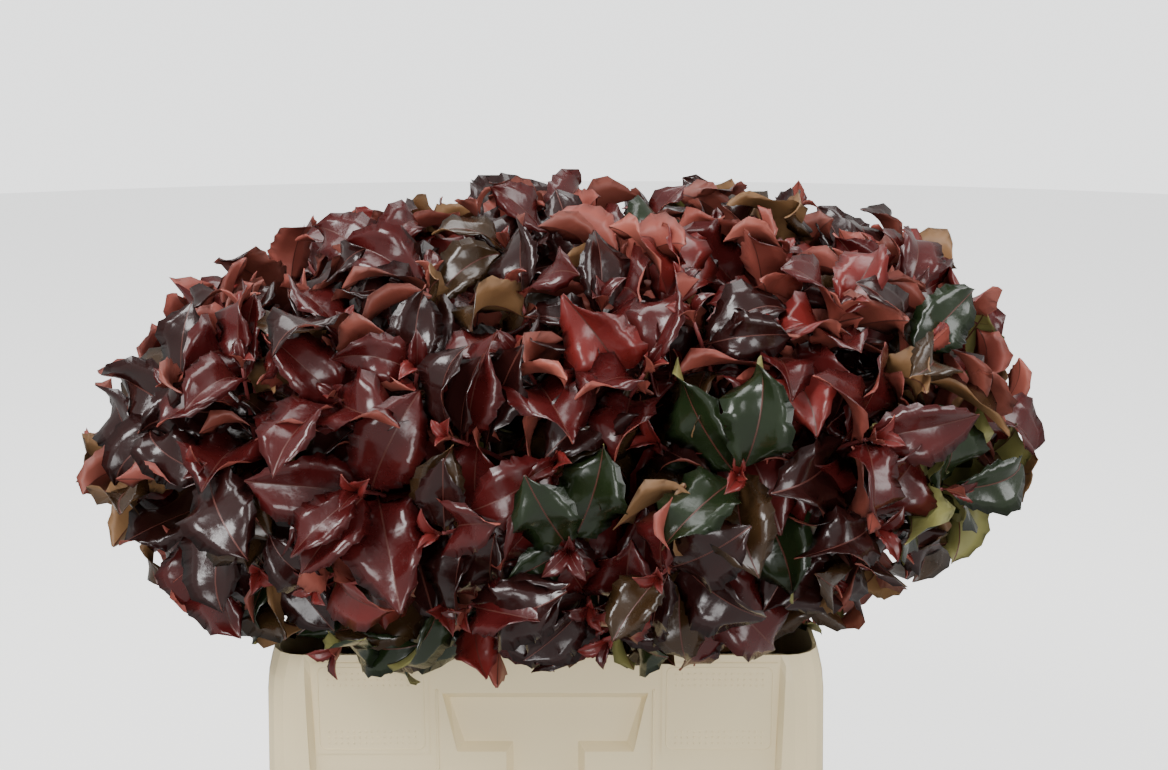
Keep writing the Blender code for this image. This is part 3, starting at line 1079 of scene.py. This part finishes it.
@dataclass
class Container:
    """The carried-over container, with its moulded details: ribs, field borders and dots."""

    rim_depth: float = 0.300
    label_offset: float = 0.127
    label_drop: float = 0.0415
    label_width: float = 0.084
    label_height: float = 0.071
    label_raise: float = 0.0008
    border: float = 0.0012
    border_inset: float = 0.003
    border_round: float = 0.005
    dot_pitch: float = 0.0045
    dot_radius: float = 0.0009
    dot_top_radius: float = 0.0005
    rib_offset: float = 0.079
    rib_top: float = 0.293
    rib_foot: float = 0.060

    def build(self) -> None:
        """Dresses the CAD container and adds its details."""
        plastic = PlasticFinish().make()
        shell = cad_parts["container"]
        for slot in shell.material_slots:
            slot.material = plastic
        if not shell.material_slots:
            shell.data.materials.append(plastic)
        round_edges = shell.modifiers.new("rounded edges", "BEVEL")
        round_edges.width, round_edges.segments = 0.0007, 2
        round_edges.limit_method, round_edges.angle_limit = "ANGLE", math.radians(35)
        for side, place in ((-1, "front"), (1, "back")):
            self.add_ribs(side, place, plastic)
            self.add_borders(side, place, plastic)
            self.add_dots(side, place, plastic)

    def add_ribs(self, side: int, place: str, plastic: bpy.types.Material) -> None:
        """Adds the two upright ribs beside the pocket.

        Args:
            side: -1 for the front and 1 for the back.
            place: the side's name.
            plastic: the material.
        """
        points, faces = [], []
        y = side * self.rim_depth / 2
        for sign in (-1, 1):
            x = sign * self.rib_offset
            path = [Vector((x, y, self.rib_foot)), Vector((x, y, self.rib_top))]
            made, skin = tube(path, [0.0011, 0.0011], 10, len(points))
            points += made
            faces += skin
        self.finish(f"{place}_ribs", points, faces, plastic)

    def add_borders(self, side: int, place: str, plastic: bpy.types.Material) -> None:
        """Adds the thin raised border round each bare field.

        Args:
            side: -1 for the front and 1 for the back.
            place: the side's name.
            plastic: the material.
        """
        points, faces = [], []
        y = side * (self.rim_depth / 2 + self.label_raise)
        half_x = self.label_width / 2 - self.border_inset
        half_z = self.label_height / 2 - self.border_inset
        round_by = self.border_round
        for sign in (-1, 1):
            loop = []
            for quarter in range(4):
                middle_x = (half_x - round_by) * (1 if quarter in (0, 3) else -1)
                middle_z = (half_z - round_by) * (1 if quarter in (0, 1) else -1)
                for step in range(5):
                    angle = math.pi / 2 * (quarter + step / 4)
                    x = middle_x + round_by * math.cos(angle)
                    loop.append((x, middle_z + round_by * math.sin(angle)))
            first = len(points)
            for x, z in loop:
                size = math.hypot(x, z)
                for grow, out in ((0.0, 0.0), (0.3, 0.0005), (0.7, 0.0005), (1.0, 0.0)):
                    scale = 1 - self.border * grow / size
                    points.append(
                        Vector(
                            (
                                sign * self.label_offset + x * scale,
                                y + side * (out - 0.0001),
                                RIM_HEIGHT - self.label_drop + z * scale,
                            )
                        )
                    )
            for i in range(len(loop)):
                here, after = first + 4 * i, first + 4 * ((i + 1) % len(loop))
                for c in range(4):
                    d = (c + 1) % 4
                    face = (here + c, here + d, after + d, after + c)
                    faces.append(face if side < 0 else tuple(reversed(face)))
        self.finish(f"{place}_field_borders", points, faces, plastic)

    def add_dots(self, side: int, place: str, plastic: bpy.types.Material) -> None:
        """Adds the rows of small raised dots above and below the bare middle of each field.

        Args:
            side: -1 for the front and 1 for the back.
            place: the side's name.
            plastic: the material.
        """
        points, faces = [], []
        y = side * (self.rim_depth / 2 + self.label_raise)
        for sign in (-1, 1):
            for row in (-6, -5, -4, 4, 5, 6):
                for column in range(-7, 8):
                    x = sign * self.label_offset + column * self.dot_pitch
                    z = RIM_HEIGHT - self.label_drop + row * self.dot_pitch
                    path = [Vector((x, y - side * 0.0002, z)), Vector((x, y + side * 0.0003, z))]
                    path.append(Vector((x, y + side * 0.0005, z)))
                    radii = [self.dot_radius, self.dot_radius, self.dot_top_radius]
                    made, skin = tube(path, radii, 8, len(points))
                    points += made
                    faces += skin
        self.finish(f"{place}_field_dots", points, faces, plastic)

    def finish(self, name: str, points: list, faces: list, plastic: bpy.types.Material) -> None:
        """Makes a detail piece.

        Args:
            name: its name.
            points: its vertices.
            faces: its faces.
            plastic: its material.
        """
        piece = add_piece(name, np.array(points), faces, [plastic], smooth=False)


@dataclass
class Studio:
    """The pale floor, the backdrop, the soft lights and the camera."""

    camera_at: Colour = (0.02828, -1.307, 0.788)
    tilt: float = math.radians(77)
    lens: float = 36 * 1700 / 1168
    air: Colour = (0.93, 0.92, 0.90)

    def build(self) -> None:
        """Makes them all."""
        self.add_sweep()
        self.add_light("key", (-1.3, -1.4, 2.4), 1.2, 70.0)
        self.add_light("right", (1.9, -0.7, 1.6), 1.2, 26.0)
        self.add_light("front", (0.2, -2.6, 0.7), 1.2, 30.0)
        self.add_light("top", (0.0, 0.6, 2.6), 1.6, 34.0)
        world = bpy.data.worlds.new("studio air")
        bpy.context.scene.world = world
        world.use_nodes = True
        background = world.node_tree.nodes["Background"]
        background.inputs["Color"].default_value = (*self.air, 1.0)
        background.inputs["Strength"].default_value = 0.60
        lens = bpy.data.cameras.new("camera")
        lens.sensor_width, lens.lens = 36.0, self.lens
        camera = bpy.data.objects.new("camera", lens)
        camera.location = self.camera_at
        camera.rotation_euler = (self.tilt, 0.0, 0.0)
        bpy.context.scene.collection.objects.link(camera)
        bpy.context.scene.camera = camera

    def add_sweep(self) -> None:
        """Adds the pale floor and the round backdrop, which light nothing themselves."""
        sides, radius, height = 96, 6.0, 9.0
        turns = [2 * math.pi * i / sides for i in range(sides)]
        ring = [(radius * math.cos(turn), radius * math.sin(turn)) for turn in turns]
        wall = [(i, (i + 1) % sides, sides + (i + 1) % sides, sides + i) for i in range(sides)]
        shapes = (
            ("floor", [(x, y, 0.0) for x, y in ring], [tuple(range(sides))], 1.35),
            ("backdrop", [(x, y, z) for z in (0.0, height) for x, y in ring], wall, 1.75),
        )
        for name, points, faces, strength in shapes:
            mesh = bpy.data.meshes.new(name)
            mesh.from_pydata(points, [], faces)
            finish = BackdropFinish(name=f"pale_{name}", glow_strength=strength)
            mesh.materials.append(finish.make())
            made = bpy.data.objects.new(name, mesh)
            made.visible_diffuse = made.visible_glossy = made.visible_shadow = False
            bpy.context.scene.collection.objects.link(made)

    def add_light(self, name: str, place: Colour, size: float, power: float) -> None:
        """Adds one large soft lamp that faces the crown.

        Args:
            name: its name.
            place: where it hangs.
            size: its width.
            power: its power in watts.
        """
        lamp = bpy.data.lights.new(name, "AREA")
        lamp.size, lamp.energy = size, power
        made = bpy.data.objects.new(name, lamp)
        made.location = place
        aim = Vector((0, 0, 0.45)) - Vector(place)
        made.rotation_euler = aim.to_track_quat("-Z", "Y").to_euler()
        bpy.context.scene.collection.objects.link(made)


def main() -> None:
    """Builds the studio and every piece."""
    logging.basicConfig(level=logging.INFO, format="%(message)s")
    Studio().build()
    Container().build()
    CutStems().build()
    Foliage().build()
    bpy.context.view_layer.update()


if __name__ == "__main__":
    main()
